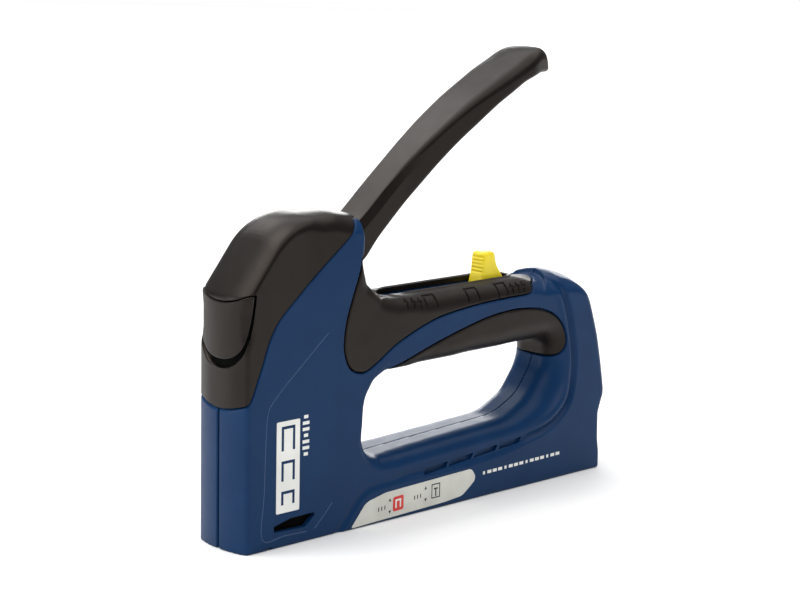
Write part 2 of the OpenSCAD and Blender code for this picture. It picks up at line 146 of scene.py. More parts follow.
# Seams of the pieces let into the housing
CAP_SEAM = [(-98, 52.5), (-96.4, 54.3), (-94, 57), (-91.4, 63), (-88.7, 69.6), (-86, 77),
            (-83, 82.4), (-79.7, 86.3), (-72.3, 92.8), (-63, 100.5), (-53.4, 107.6),
            (-47.6, 112), (-44.3, 115.6)]
CAP = np.vstack([flowing(CAP_SEAM), [(-43, 118.2), (-30, 118.6), (-30, 135), (-112, 135),
                                     (-112, 34)]])
COVER_SEAM = [(-40.9, 104), (-42.2, 98.5), (-44.7, 92.2), (-48.4, 81.4), (-49.7, 72.1),
              (-48.6, 66.3), (-46.3, 62.4), (-42.5, 60.5), (-38.5, 60.4), (-32.5, 63.3),
              (-22.3, 69.3), (-6.7, 75.1), (4, 77.4), (20.4, 79.1), (37.4, 79.8), (48.6, 80),
              (52.2, 81.6), (53, 84.2)]
COVER = np.vstack([flowing(COVER_SEAM), [(53, 97), (-30, 97), (-30, 106), (-38, 106)]])
PAD_SEAM = [(-27.5, 57.2), (-24.6, 59.1), (-11.7, 63.6), (4.3, 68.2), (20.7, 72.1), (31.9, 73.9),
            (43.4, 74.4), (55.2, 73.2), (64.3, 70), (70, 64.7), (72.6, 58.1), (71.7, 53.4),
            (68.3, 51.2), (62, 51)]
PAD = np.vstack([flowing(PAD_SEAM), [(58, 51), (58, 54), (-27.5, 54)]])
# Raised panel along the base and the rear
PANEL_EDGE = [(-53, -4), (-50.2, 0), (-46.3, 4.4), (-42.3, 8.9), (-38.3, 12.1), (-33.2, 13.6),
              (-15.4, 14.3), (10, 14.5), (35, 15.6), (52, 18.6), (61, 20.5), (69.7, 24.6),
              (76.7, 32.1), (79, 44.5), (77.8, 57.4), (73, 74.8), (66.6, 83.9), (57.4, 89.2)]
PANEL = np.vstack([flowing(PANEL_EDGE), [(56, 120), (130, 120), (130, -20), (-56, -20)]])
WINDOW = rounded([(-83, 6.2, .5), (-83, 8.6, .5), (-75, 10.4, 3), (-61.8, 10.6, .8), (-68, 5.6, 2)])
LABEL = rounded([(-45.6, .6, .4), (-38, 9.4, 6), (-28, 11.5, 10), (18.4, 12.8, 2.6), (21.6, 8.4, 3.2),
                 (13.6, 2.6, 6), (4, 1.8, 8)])
NAME = rounded([(-82, 13, .5), (-82, 47.5, .5), (-71, 47.5, .5), (-71, 13, .5)])
LEVER_CREST = [(-46, 109), (-41, 113.6), (-33.7, 119.4), (-24.2, 127.8), (-14.1, 136.3), (-3.2, 144.6),
               (8.1, 152.5), (19.7, 159.8), (31.5, 166.4), (43.5, 173), (50, 176.4), (54.5, 178),
               (58.3, 178.2), (62, 176.4), (64.8, 172.6), (65.9, 169.8)]
LEVER_BELLY = [(64.9, 168.5), (61, 168.3), (55, 168), (47, 165.6), (41.9, 163.1), (31.7, 157.2),
               (21.8, 150.3), (11.9, 143.3), (2.2, 135.6), (-7.4, 127.2), (-17.3, 118.4),
               (-27.3, 109.1), (-34.2, 101.6), (-41, 98.4), (-48, 98.2)]
LEVER = np.vstack([flowing(LEVER_CREST, 9), flowing(LEVER_BELLY, 9), [(-49, 104)]])
LEVER_TOP = np.vstack([flowing(LEVER_CREST, 9), [(67, 60), (-60, 60), (-60, 100)]])
HOLLOW = rounded([(-60, 80, 0), (-60, 92, 0), (-34, 116.2, 50), (8, 149.6, 130), (46, 171.5, 20),
                  (50, 166, 0), (48, 160, 0), (2, 130, 100), (-34, 95, 40)])
LEVER_PLAN = [(-70, 7.6, 0), (-14, 7.6, 60), (38, 12.6, 40), (51, 12.4, 14), (61.5, 9.2, 9),
              (66.8, 3.6, 6)]
KNOB = rounded([(-5.2, 80.7, .3), (-5.2, 84, 1), (-4.3, 89.4, 5), (-4, 97, 1.8), (2.7, 97, 2),
                (3.7, 91.6, 6), (7.2, 86.6, 3), (7.6, 80.7, .3)])
PUSHER = rounded([(92.4, 1, .5), (92.4, 16.4, .5), (97.2, 15, 2), (97.2, 2.6, 2)])
# Front insert, half of it: distance round the nose from its middle, and height
INSERT_EDGE = [(0, 71), (4, 71.3), (8, 72.4), (11.8, 74.6), (14.4, 77.6), (16.4, 82), (18, 88),
               (19, 94), (19.5, 100)]
INSERT = np.vstack([flowing(INSERT_EDGE), flowing(INSERT_EDGE)[::-1] * (-1, 1)])

# Fillet between the side view's outline and the sides, as (x, z, radius)
EDGE_FILLET = [(-98, 0, .8), (-98, 90, .8), (-94, 98, 1.0), (-87, 107, 1.1), (-77, 118.5, 1.5),
               (-68, 121.5, 2.4), (-58, 121.5, 4), (-46, 120, 5), (-39, 118, 4.5), (-40, 108, 2.0),
               (-39.5, 101, 2.6), (-34, 91, 4.6), (-26, 86, 7), (0, 86, 8.3), (25, 86.5, 8.3),
               (45, 87, 8), (58, 86.5, 7), (72, 86, 5), (82, 81, 4), (90, 65, 3.5), (98, 33, 3),
               (95, 20, 2.5), (95, 0, 1), (60, 0, .8), (0, 0, .8), (-60, 0, .8)]
HOLE_FILLET = [(-39.4, 46, 1.2), (-37, 52, 1.6), (-32, 56.5, 3), (-25, 58.4, 4.5), (0, 58.5, 6.5),
               (30, 58.8, 8), (52, 59, 9), (64, 57, 9), (66.8, 49, 9.5), (60, 38, 9.5), (50, 31.2, 9),
               (36, 28.4, 8.6), (20, 27.6, 8.3), (4, 26.9, 8), (-10, 26.2, 7.6), (-20, 25.7, 7),
               (-28, 25.4, 6.2), (-33, 26.3, 5.3), (-36.5, 28.8, 4.4), (-38.6, 32.5, 3.3),
               (-39.4, 37, 2.2), (-39.4, 41, 1.5)]

# ---------------------------------------------------------------- fields
# Points p are rows of (x, y, z). A function named *_piece returns several fields at the points,
# and the piece is where all of them are negative.


class Maps:
    """Values over a plane, looked up between the grid's points. Each name is one value."""

    def __init__(self, low, high, step):
        self.low, self.step = low, step
        self.size = [int((h - l) / step) + 2 for l, h in zip(low, high)]
        self.u, self.v = np.meshgrid(*[l + step * np.arange(n) for l, n in zip(low, self.size)],
                                     indexing="ij")
        self.names, self.layers, self.table = [], [], None

    def add(self, name, values):
        self.names.append(name)
        self.layers.append(np.asarray(values, np.float32) + np.zeros_like(self.u, np.float32))
        self.table = np.stack(self.layers, -1).reshape(-1, len(self.layers))

    def outline(self, name, points):
        self.add(name, polygon_distance(points, self.u, self.v))

    def at(self, u, v):
        a = np.clip((u - self.low[0]) / self.step, 0, self.size[0] - 1.001)
        b = np.clip((v - self.low[1]) / self.step, 0, self.size[1] - 1.001)
        i, j = a.astype(np.int64), b.astype(np.int64)
        a, b = (a - i)[:, None], (b - j)[:, None]
        k, n = i * self.size[1] + j, self.size[1]
        t = self.table
        out = (1 - a) * ((1 - b) * t[k] + b * t[k + 1]) + a * ((1 - b) * t[k + n] + b * t[k + n + 1])
        return dict(zip(self.names, out.T))


def polygon_distance(points, u, v):
    """Signed distance to a closed outline, negative inside."""
    points = np.asarray(points, float)
    best, inside = np.full(u.shape, 1e9), np.zeros(u.shape, bool)
    for a, b in zip(points, np.roll(points, -1, 0)):
        e = b - a
        if e @ e < 1e-12:
            continue
        t = np.clip(((u - a[0]) * e[0] + (v - a[1]) * e[1]) / (e @ e), 0, 1)
        best = np.minimum(best, (u - a[0] - t * e[0]) ** 2 + (v - a[1] - t * e[1]) ** 2)
        if a[1] != b[1]:
            inside ^= ((a[1] <= v) != (b[1] <= v)) & (u < a[0] + (v - a[1]) / e[1] * e[0])
    return np.where(inside, -1, 1) * np.sqrt(best)


def from_marks(marks, u, v):
    """Values of (u, v, value) marks, blended smoothly between them."""
    total, weight = 0, 0
    for a, b, value in marks:
        w = 1 / ((u - a) ** 2 + (v - b) ** 2 + 9) ** 2
        total, weight = total + w * value, weight + w
    return total / weight


def ease(t):
    """Smooth step from 0 to 1."""
    t = np.clip(t, 0, 1)
    return t * t * (3 - 2 * t)


def bump(t):
    """Smooth hill of height 1 at zero."""
    return np.exp(-t * t)


def fillet(a, b, r):
    """Intersection of two fields with a round edge."""
    return np.minimum(np.maximum(a, b), -r) + np.hypot(np.maximum(a + r, 0), np.maximum(b + r, 0))


def box_field(p, low, high, r=0.0):
    """Box with its edges rounded by r."""
    low, high = np.array(low, float) + r, np.array(high, float) - r
    q = np.abs(p - (low + high) / 2) - (high - low) / 2
    return np.linalg.norm(np.maximum(q, 0), axis=1) + np.minimum(q.max(1), 0) - r


side = Maps((-106, -8), (106, 184), 0.4)
for name, points in (("body", BODY), ("hole", HOLE), ("cavity", CAVITY), ("wall", HOLE_WALL),
                     ("cap", CAP), ("cover", COVER), ("pad", PAD), ("panel", PANEL),
                     ("window", WINDOW), ("label", LABEL), ("name", NAME)):
    side.outline(name, points)
panel = side.layers[side.names.index("panel")]
X, Z = side.u, side.v
# Half-width of the housing: a raised panel, a groove along its rear part, leaning cheeks
rear = ease((X - 42) / 18) * ease((Z - 15) / 9)
groove = 0.3 + 0.7 * rear
louvre_band = bump((Z - 17.4 - 0.077 * X) / 3.4) * ease((X + 26) / 16) * ease((66 - X) / 14)
cheek = ease((-36 - X) / 6) * ease((X + 80) / 16) * np.clip((Z - 93) / 28, 0, 1) ** 1.6
half_width = (HALF_WIDTH + 0.48 * ease(0.5 - panel / 0.8) - 1.25 * bump((panel - 1.5) / 1.0) * groove
              + 0.5 * bump((panel - 4.4) / 1.5) * rear - 0.7 * louvre_band * ease(panel / 2)
              - 0.9 * cheek)
side.add("half", half_width)
side.add("edge", from_marks(EDGE_FILLET, X, Z))
side.add("rim", from_marks(HOLE_FILLET, X, Z))
lever_map = Maps((-70, 76), (72, 182), 0.4)
for name, points in (("lever", LEVER), ("top", LEVER_TOP), ("hollow", HOLLOW)):
    lever_map.outline(name, points)


def mirrored_plan(points, trim=0.0):
    """Outline from half of it, moved inwards by trim."""
    upper = [(x - (trim if i == len(points) - 1 else 0), y - trim, r)
             for i, (x, y, r) in enumerate(points)]
    return rounded(upper + [(x, -y, r) for x, y, r in reversed(upper)])


plan_map = Maps((-72, -16), (72, 16), 0.25)
plan_map.outline("lever", mirrored_plan(LEVER_PLAN))
plan_map.outline("hollow", mirrored_plan(LEVER_PLAN, 2.2))
front_map = Maps((-2, 44), (50, 106), 0.3)
front_map.outline("insert", INSERT)


def round_nose(p):
    """Distance round the nose from its middle, roughly, and height: the front insert's plane."""
    return np.abs(p[:, 1]) + p[:, 0] - NOSE_X, p[:, 2]


def lip(y):
    """Height of the lower edge of the cap's lip across the nose."""
    return 92.3 + 0.017 * y ** 2


def crowned(p):
    """The side view's values, looked up higher towards the sides of the crowned head and grip end."""
    x, y, z = p.T
    head = ease((-34 - x) / 8) * ease((z - 86) / 8)
    rear = ease((x - 50) / 14) * ease((z - 72) / 10)
    out = np.minimum(np.abs(y) / 13.5, 1.1)
    drop = HEAD_DROP * head * out ** 3 + REAR_DROP * rear * out ** 2
    tongue = 8.5 * ease((x - 44) / 10) * (1 - np.minimum(np.abs(y) / 11, 1) ** 2)
    view = side.at(x, z)
    view["cover"] = side.at(x - tongue, z)["cover"]
    view["body"] = side.at(x, z + drop)["body"]
    return view


def outer(p, view):
    """The housing's whole outer form: its sides, finger opening and rounded nose."""
    x, y, z = p.T
    flank = np.abs(y) - view["half"]
    step = GRIP_STEP * ease((67 - 0.04 * y ** 2 - x) / 1.4) * ease((x - 46) / 12) * ease((z - 79) / 4)
    shell = fillet(view["body"] + step, flank, view["edge"])
    opening = fillet(-view["hole"], flank, view["rim"])
    front = np.where(x < -60, np.hypot(x - NOSE_X - NOSE_ARCH, y) - NOSE_ARCH, -30)
    nose = fillet(front, flank, 1.3 + 2.4 * ease((z - 73) / 9) - 1.2 * ease((z - 88) / 6))
    soft_edge = 1.2 + 2.4 * ease((x + 37) / 3) * ease((-24 - x) / 6)
    return np.array([fillet(np.maximum(shell, opening), -lever_way(p), soft_edge), nose])


def slot(p, grow=0.0):
    """Stadium that the force slider runs in, in plan."""
    middle, reach = (SLOT_X[0] + SLOT_X[1]) / 2, (SLOT_X[1] - SLOT_X[0]) / 2 - SLOT_HALF
    return np.hypot(np.maximum(np.abs(p[:, 0] - middle) - reach, 0), p[:, 1]) - SLOT_HALF - grow


def lever_way(p):
    """Bed that the lever swings down in, from the head to where it runs out on the grip."""
    x, y, z = p.T
    floor = 83.5 + 2.6 * ease((x + 28) / 10.5)
    return np.maximum.reduce([np.abs(y) - BED_HALF, floor - z, -62 - x, x + 19, z - 117.6])


def core_way(p):
    """Deeper slot behind the head, where the lever's core passes."""
    return box_field(p, (-62, -8.3, 79), (-34.5, 8.3, 90), 1.0)


def inside(p, view, skin):
    """The hollow of the housing: WALL behind the outer skin and narrower round the grip, with the
    magazine's channel, which is open below and at the rear."""
    x, y, z = p.T
    wide = np.maximum.reduce([view["cavity"], np.abs(y) - np.where(z < 25, 9.8, 12.1), 18 - z,
                              skin + WALL, -view["wall"],
                              np.abs(y) - np.where(x > -91.6, 20, 9)])
    narrow = np.where((x > -44) & (x < 74) & (z > 56) & (z < 95), np.abs(y) - 9.9, -5)
    magazine = np.maximum(np.maximum(np.abs(y) - 7.3, z - 18.1), -95.3 - x)
    return np.minimum(np.maximum(wide, narrow), magazine)


def louvres(p):
    """Four slanted recesses in the side."""
    middle = 15.6 + 0.077 * (p[:, 0] + 6.5)
    x, z = p[:, 0] - 0.7 * (p[:, 2] - middle), p[:, 2] - middle
    found = 9.0
    for i in range(4):
        found = np.minimum(found, np.maximum(np.abs(x + 0.3 - 13.9 * i) - 6.2, np.abs(z) - 1.15))
    return found


def let_in(region, view, skin):
    """The housing's surface, sunk by LET_IN where a piece is let into it."""
    return np.minimum(fillet(skin, GAP - view[region], 0.5), skin + LET_IN)


def shell_piece(s):
    """One housing shell; s is -1 for the near side and 1 for the far side."""
    def fields(p):
        view = crowned(p)
        x, y, z = p.T
        faces = outer(p, view)
        skin = faces.max(0)
        front = ease((-88 - x) / 4)
        outward = s * y
        seam = 0.03 + 0.42 * front * ease((skin + 1.7) / 0.3) - outward
        cuts = [fillet(skin, seam, 0.15 + 0.35 * front), fillet(skin, GAP - view["cap"], 0.5),
                let_in("cover", view, skin), let_in("pad", view, skin),
                -inside(p, view, skin), -core_way(p),
                -np.maximum(slot(p, -0.3), 80 - z),
                -np.maximum(view["window"], 9.5 - outward), -np.maximum(louvres(p), 11.9 - outward),
                -np.maximum(view["label"] - 0.15, 14.1 - outward),
                -np.maximum(view["name"] - 0.1, 13.75 - outward),
                -box_field(p, (-86.4, -30, -3), (-83.6, 30, 0.9), 0.3)]
        if s > 0:
            for at in SCREWS:
                cuts.append(-np.maximum(np.hypot(x - at[0], z - at[1]) - SCREW_HOLE, 12.3 - outward))
        return np.array(cuts)
    return fields


def groove_width(around):
    """Width of the groove round the front insert: widest below its middle."""
    return 0.5 + 2.8 * bump(around / 15)


def groove_shade_piece(p):
    """Painted shade: a near-black sheet in the bottom of the groove round the front insert, darkening it
    as shade would.
    """
    skin = outer(p, crowned(p)).max(0)
    around, height = round_nose(p)
    edge = front_map.at(around, height)["insert"]
    return np.array([skin + 1.35, -(skin + 1.75), edge - groove_width(around) + 0.08,
                     p[:, 2] - lip(p[:, 1]) + 0.1, p[:, 0] + 88.3])


def cap_piece(p):
    """Black cap over the head, with the recess that its front insert sits in."""
    view = crowned(p)
    x, y, z = p.T
    faces = outer(p, view)
    skin = faces.max(0)
    around, height = round_nose(p)
    wall = np.where((np.abs(y) < 6.3) & (z > 93.8), 0.9, 1.9)  # thinner over the driver's tab
    hollow = np.maximum.reduce([view["cavity"], np.abs(y) - 11.6, skin + wall])
    recess = np.maximum.reduce([front_map.at(around, height)["insert"] - groove_width(around), x + 88,
                                -(skin + RECESS), z - lip(y)])
    return np.array([fillet(faces[0], faces[1], 0.7), fillet(skin, view["cap"] + 0.14, 0.4), -hollow,
                     fillet(skin, -recess, 0.6), -core_way(p)])


def insert_piece(p):
    """Insert in the front of the cap."""
    view = crowned(p)
    x, y, z = p.T
    skin = outer(p, view)[1]
    around, height = round_nose(p)
    edge = front_map.at(around, height)["insert"]
    return np.array([fillet(skin + 0.15, np.maximum(edge, z - lip(y) + 0.3), 0.5), -(skin + 1.0),
                     x + 88.3])


def cover_piece(p):
    """Grip's upper cover, with the slot's raised rim and the setting marks."""
    view = crowned(p)
    z = p[:, 2]
    skin = outer(p, view).max(0)
    around = slot(p)
    rim = 0.5 * bump((around - 1.0) / 0.6) * ease((p[:, 0] + 17) / 6)  # low where the lever lands
    skin = skin - rim * (z > 80)
    return np.array([fillet(skin, view["cover"] + TRIM, 0.45), -(skin + 2.0), -core_way(p),
                     -fillet(around, 78 - z, 0.01), marks(p, skin)])


def marks(p, skin):
    """Setting marks engraved beside the slot: brackets and pluses."""
    x, y, z = p.T
    out = np.abs(y)

    def stroke(along, across, long, wide):
        return np.maximum(np.abs(x - along) - long / 2, np.abs(out - across) - wide / 2)

    found = [stroke(a, 11.6, .9, 3.8) for a in (-7.2, -1.6, 15.4, 21.4, 32.4, 37.4)]
    found += [stroke(a, 10.1, 6.5, .9) for a in (-4.4, 18.4, 34.9)]
    for a in (-17.4, -13.8, -10.2, 40.6, 43.8, 47):
        found += [stroke(a, 12, 2.7, .8), stroke(a, 12, .8, 2.7)]
    return -np.maximum.reduce([np.minimum.reduce(found), -(skin + 0.6), 76 - z])


def pad_piece(p):
    """Soft pad over the finger opening."""
    view = crowned(p)
    skin = outer(p, view).max(0)
    return np.array([fillet(skin, view["pad"] + TRIM, 0.45), -(skin + 2.0)])


def lever_piece(p):
    """Lever's shell: a crowned back whose edges are bevelled in front, hollow below."""
    x, y, z = p.T
    view = lever_map.at(x, z)
    plan = plan_map.at(x, y)
    bevel = ease((-2 - x) / 26)
    crown = 1.3 * (y / 12.6) ** 2 - 0.5 * ease((48 - x) / 14)
    slope = (plan["lever"] * 4 + view["top"] * bevel + 4 * bevel * 0.98) / np.sqrt(16 + bevel ** 2)
    back = fillet(view["top"] + crown, plan["lever"], 2.0 + 2.0 * ease((x - 5) / 50))
    faces = np.maximum(back, fillet(view["lever"], plan["lever"], 1.5))
    hollow = np.maximum(view["hollow"], plan["hollow"])
    return np.array([faces, slope, -hollow])


def knob_piece(p):
    """Slider's knob, ribbed in front and behind."""
    x, y, z = p.T
    profile = polygon_distance(KNOB, x - KNOB_X, z)
    half = 3.7 + 0.5 * ease((90 - z) / 6)
    body = fillet(profile, np.abs(y) - half, 1.1 + 0.5 * ease((z - 91) / 5))
    ribs = 0.26 * (1 - np.cos((z - 88.2) * 2 * math.pi / 1.5))
    ribbed = ease((z - 87.6) / 0.6) * ease((95.8 - z) / 0.6) * ease((3.1 - np.abs(y)) / 0.3)
    return np.array([body + ribs * ribbed * (np.abs(x - KNOB_X) > 1.5)])


def pusher_piece(p):
    """Knob at the rear end of the magazine's pusher, ribbed across its back."""
    x, y, z = p.T
    body = fillet(polygon_distance(PUSHER, x, z), np.abs(y) - 6.6, 1.4)
    ribs = 0.35 * (0.5 - 0.5 * np.cos((z - 3) * 2 * math.pi / 2.6)) * ease(z - 3) * ease(14 - z)
    return np.array([body + ribs * ease(x - 95) * ease((5 - np.abs(y)) / 0.6)])


# ---------------------------------------------------------------- meshes from fields


def values_at(piece, points):
    """The piece's fields at many points, worked out in chunks to save memory."""
    chunk = 400000
    return np.concatenate([piece(points[i:i + chunk]) for i in range(0, len(points), chunk)], 1)


def slopes(piece, points, h=0.12):
    """Gradient of every field at the points: fields, points, xyz."""
    out = []
    for axis in range(3):
        shift = np.zeros(3)
        shift[axis] = h
        out.append((values_at(piece, points + shift) - values_at(piece, points - shift)) / (2 * h))
    return np.stack(out, -1)


def settle(piece, points, active, middle, reach):
    """Moves each point onto all its active fields at once: a face, an edge or a corner."""
    for _ in range(3):
        f = values_at(piece, points).T * active
        j = slopes(piece, points).transpose(1, 0, 2) * active[:, :, None]
        single = active.sum(1) == 1
        step = np.zeros_like(points)
        g, r = j[single].sum(1), f[single].sum(1)
        step[single] = -g * (r / np.maximum((g * g).sum(1), 0.1))[:, None]
        j2, f2 = j[~single], f[~single]
        if len(j2):
            square = j2 @ j2.transpose(0, 2, 1) + 0.03 * np.eye(j2.shape[1])
            step[~single] = -(j2.transpose(0, 2, 1) @ np.linalg.solve(square, f2[:, :, None]))[:, :, 0]
        points = np.clip(points + step, middle - reach, middle + reach)
    return points


def contour(piece, low, high, step):
    """Mesh of the surface where the largest field is zero: points and triangles."""
    low = np.array(low, float)
    big = 4 * step
    count = np.ceil((np.array(high) - low) / big).astype(int)
    cells = np.indices(count).reshape(3, -1).T
    centre_value = values_at(piece, low + (cells + 0.5) * big).max(0).reshape(count)
    near = np.abs(centre_value) < big * 0.87 * 1.35
    near = near.repeat(4, 0).repeat(4, 1).repeat(4, 2)
    need = np.zeros(np.array(near.shape) + 1, bool)
    nx, ny, nz = near.shape
    for i, j, k in product((0, 1), repeat=3):
        need[i:nx + i, j:ny + j, k:nz + k] |= near
    value = np.full(need.shape, np.nan)
    value[need] = values_at(piece, low + np.argwhere(need) * step).max(0)
    points, rings = [], []
    for axis in range(3):
        u, v = (axis + 1) % 3, (axis + 2) % 3
        a = np.take(value, range(0, need.shape[axis] - 1), axis)
        b = np.take(value, range(1, need.shape[axis]), axis)
        hit = np.argwhere(((a < 0) != (b < 0)) & np.isfinite(a) & np.isfinite(b))
        va, vb = a[tuple(hit.T)], b[tuple(hit.T)]
        p = hit.astype(float)
        p[:, axis] += va / (va - vb)
        points.append(low + p * step)
        ring = []
        for du, dv in ((-1, -1), (0, -1), (0, 0), (-1, 0)):
            cell = hit.copy()
            cell[:, u] += du
            cell[:, v] += dv
            ring.append(np.ravel_multi_index(tuple(cell.T), near.shape))
        ring = np.stack(ring, 1)
        ring[va > 0] = ring[va > 0, ::-1]
        rings.append(ring)
    points, rings = np.concatenate(points), np.concatenate(rings)
    ids, index = np.unique(rings.ravel(), return_inverse=True)
    index = index.reshape(-1)
    owner = np.repeat(np.arange(len(points)), 4)
    tally = np.bincount(index)
    start = np.stack([np.bincount(index, points[owner, i]) for i in range(3)], 1) / tally[:, None]
    strongest = values_at(piece, points).argmax(0)
    fields = strongest.max() + 1
    active = np.stack([np.bincount(index, (strongest == i)[owner], len(ids)) > 0
                       for i in range(fields)], 1)

    def used(q):
        return piece(q)[:fields]

    middle = low + (np.stack(np.unravel_index(ids, near.shape), 1) + 0.5) * step
    place = settle(used, start, active, middle, 0.62 * step)
    quads = index.reshape(-1, 4)
    edge = active.sum(1) > 1
    e = edge[quads]
    d = place[quads]
    short = np.linalg.norm(d[:, 0] - d[:, 2], axis=1) <= np.linalg.norm(d[:, 1] - d[:, 3], axis=1)
    first = np.where(e[:, 0] & e[:, 2] & ~(e[:, 1] & e[:, 3]), True,
                     np.where(e[:, 1] & e[:, 3] & ~(e[:, 0] & e[:, 2]), False, short))
    a = np.where(first[:, None], quads[:, [0, 1, 2]], quads[:, [0, 1, 3]])
    b = np.where(first[:, None], quads[:, [0, 2, 3]], quads[:, [1, 2, 3]])
    return place, np.concatenate([a, b])


def mesh_from(name, points, triangles):
    """Mesh in metres from points in millimetres."""
    mesh = bpy.data.meshes.new(name)
    mesh.vertices.add(len(points))
    mesh.vertices.foreach_set("co", (points * MM).ravel())
    mesh.loops.add(3 * len(triangles))
    mesh.loops.foreach_set("vertex_index", triangles.astype(np.int32).ravel())
    mesh.polygons.add(len(triangles))
    mesh.polygons.foreach_set("loop_start", np.arange(0, 3 * len(triangles), 3, dtype=np.int32))
    mesh.update(calc_edges=True)
    mesh.validate()
    return mesh


def linked(name, data):
    """New object in the scene."""
    item = bpy.data.objects.new(name, data)
    bpy.context.collection.objects.link(item)
    return item


def add_object(name, mesh, finish, body, slot_name, *nodes):
    """Puts a finished mesh in the scene on its body, in place of its CAD nodes."""
    piece = linked(name, mesh)
    mesh.materials.clear()
    mesh.materials.append(finish.material)
    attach(piece, body)
    if nodes:
        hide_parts(*nodes)
    return piece


def thinned(mesh, ratio):
    """The mesh with fewer triangles where it is flat."""
    holder = linked("holder", mesh)
    modifier = holder.modifiers.new("thin", "DECIMATE")
    modifier.ratio = ratio
    done = bpy.data.meshes.new_from_object(holder.evaluated_get(bpy.context.evaluated_depsgraph_get()))
    bpy.data.objects.remove(holder)
    done.name = mesh.name
    return done


def shade(mesh, piece):
    """Normals from the fields, so that shading is smooth on faces and crisp at edges."""
    n = len(mesh.vertices)
    co = np.empty(n * 3, np.float32)
    mesh.vertices.foreach_get("co", co)
    co = co.reshape(-1, 3).astype(float) / MM
    loops = np.empty(len(mesh.loops), np.int32)
    mesh.loops.foreach_get("vertex_index", loops)
    tri = loops.reshape(-1, 3)
    flat = np.cross(co[tri[:, 1]] - co[tri[:, 0]], co[tri[:, 2]] - co[tri[:, 0]])
    flat /= np.maximum(np.linalg.norm(flat, axis=1), 1e-12)[:, None]
    field = values_at(piece, co[tri].mean(1)).argmax(0)
    slope = slopes(piece, co, 0.3)
    normal = slope[np.repeat(field, 3), loops]
    normal /= np.maximum(np.linalg.norm(normal, axis=1), 1e-9)[:, None]
    face = np.repeat(flat, 3, 0)
    off = (normal * face).sum(1) < 0.55
    normal[off] = face[off]
    mesh.polygons.foreach_set("use_smooth", np.ones(len(mesh.polygons), bool))
    mesh.normals_split_custom_set(normal.astype(float).tolist())


def sculpt(name, piece, low, high, step, ratio):
    """Finished mesh of a piece inside the box from low to high, with a ratio of its triangles."""
    points, triangles = contour(piece, low, high, step * FINE)
    mesh = thinned(mesh_from(name, points, triangles), ratio)
    shade(mesh, piece)
    return mesh


# ---------------------------------------------------------------- meshes from lines


def tube(name, path, radius, sides=12):
    """Round wire along a path, closed at both ends."""
    path = np.array(path, float)
    ahead = np.gradient(path, axis=0)
    ahead /= np.linalg.norm(ahead, axis=1)[:, None]
    normal = np.cross(ahead[0], (0.3, 0.8, 0.52))
    points = []
    for at, t in zip(path, ahead):
        normal = normal - t * (normal @ t)
        normal /= np.linalg.norm(normal)
        other = np.cross(t, normal)
        for i in range(sides):
            a = 2 * math.pi * i / sides
            points.append(at + radius * (normal * math.cos(a) + other * math.sin(a)))
    return polygons(name, points, bar_faces(len(path), sides))


def bar_faces(rings, sides):
    """Faces of a bar whose points are rings of as many sides, closed at both ends."""
    faces = []
    for i in range(rings - 1):
        for k in range(sides):
            a, b = i * sides + k, i * sides + (k + 1) % sides
            faces.append((a, b, b + sides, a + sides))
    return faces + [tuple(range(sides))[::-1], tuple(range((rings - 1) * sides, rings * sides))]


def polygons(name, points, faces, smooth=40):
    """Mesh from points in millimetres, smooth except at edges sharper than the angle."""
    mesh = bpy.data.meshes.new(name)
    mesh.from_pydata([Vector(p) * MM for p in points], [], faces)
    mesh.validate()
    mesh.shade_smooth()
    mesh.set_sharp_from_angle(angle=math.radians(smooth))
    return mesh


def plate(name, shapes, y, thickness, bevel=0.0):
    """Flat shapes in the side view, from y outwards by thickness, with the outer edge bevelled."""
    bm = bmesh.new()
    out = -1 if y < 0 else 1
    for shape in shapes:
        shape = np.array(shape, float)
        back = [bm.verts.new((x * MM, y * MM, z * MM)) for x, z in shape]
        front = [bm.verts.new((x * MM, (y + out * thickness) * MM, z * MM)) for x, z in shape]
        bm.faces.new(back)
        cap = bm.faces.new(front)
        for i in range(len(shape)):
            j = (i + 1) % len(shape)
            bm.faces.new((back[i], back[j], front[j], front[i]))
        if bevel:
            bmesh.ops.bevel(bm, geom=list(cap.edges), offset=bevel * MM, segments=2, affect="EDGES")
    bmesh.ops.recalc_face_normals(bm, faces=bm.faces[:])
    bmesh.ops.triangulate(bm, faces=[f for f in bm.faces if len(f.verts) > 4])
    mesh = bpy.data.meshes.new(name)
    bm.to_mesh(mesh)
    bm.free()
    mesh.shade_smooth()
    mesh.set_sharp_from_angle(angle=math.radians(35))
    return mesh


def joined(name, meshes):
    """One mesh out of several."""
    bm = bmesh.new()
    for mesh in meshes:
        bm.from_mesh(mesh)
    out = bpy.data.meshes.new(name)
    bm.to_mesh(out)
    bm.free()
    out.shade_smooth()
    out.set_sharp_from_angle(angle=math.radians(35))
    return out


def moved(mesh, shift):
    """Copy of the mesh, moved by a shift in millimetres."""
    copy = mesh.copy()
    copy.transform(Matrix.Translation(Vector(shift) * MM))
    return copy


def helix(centre, axis, radius, start, end, turns, per_turn=24):
    """Points of a coil round a line through centre along an axis (0 is X and 1 is Y)."""
    points = []
    for i in range(int(turns * per_turn) + 1):
        a = 2 * math.pi * i / per_turn
        along = start + (end - start) * i / (turns * per_turn)
        if axis == 0:
            points.append((along, centre[1] + radius * math.cos(a), centre[2] + radius * math.sin(a)))
        else:
            points.append((centre[0] + radius * math.cos(a), along, centre[2] + radius * math.sin(a)))
    return points


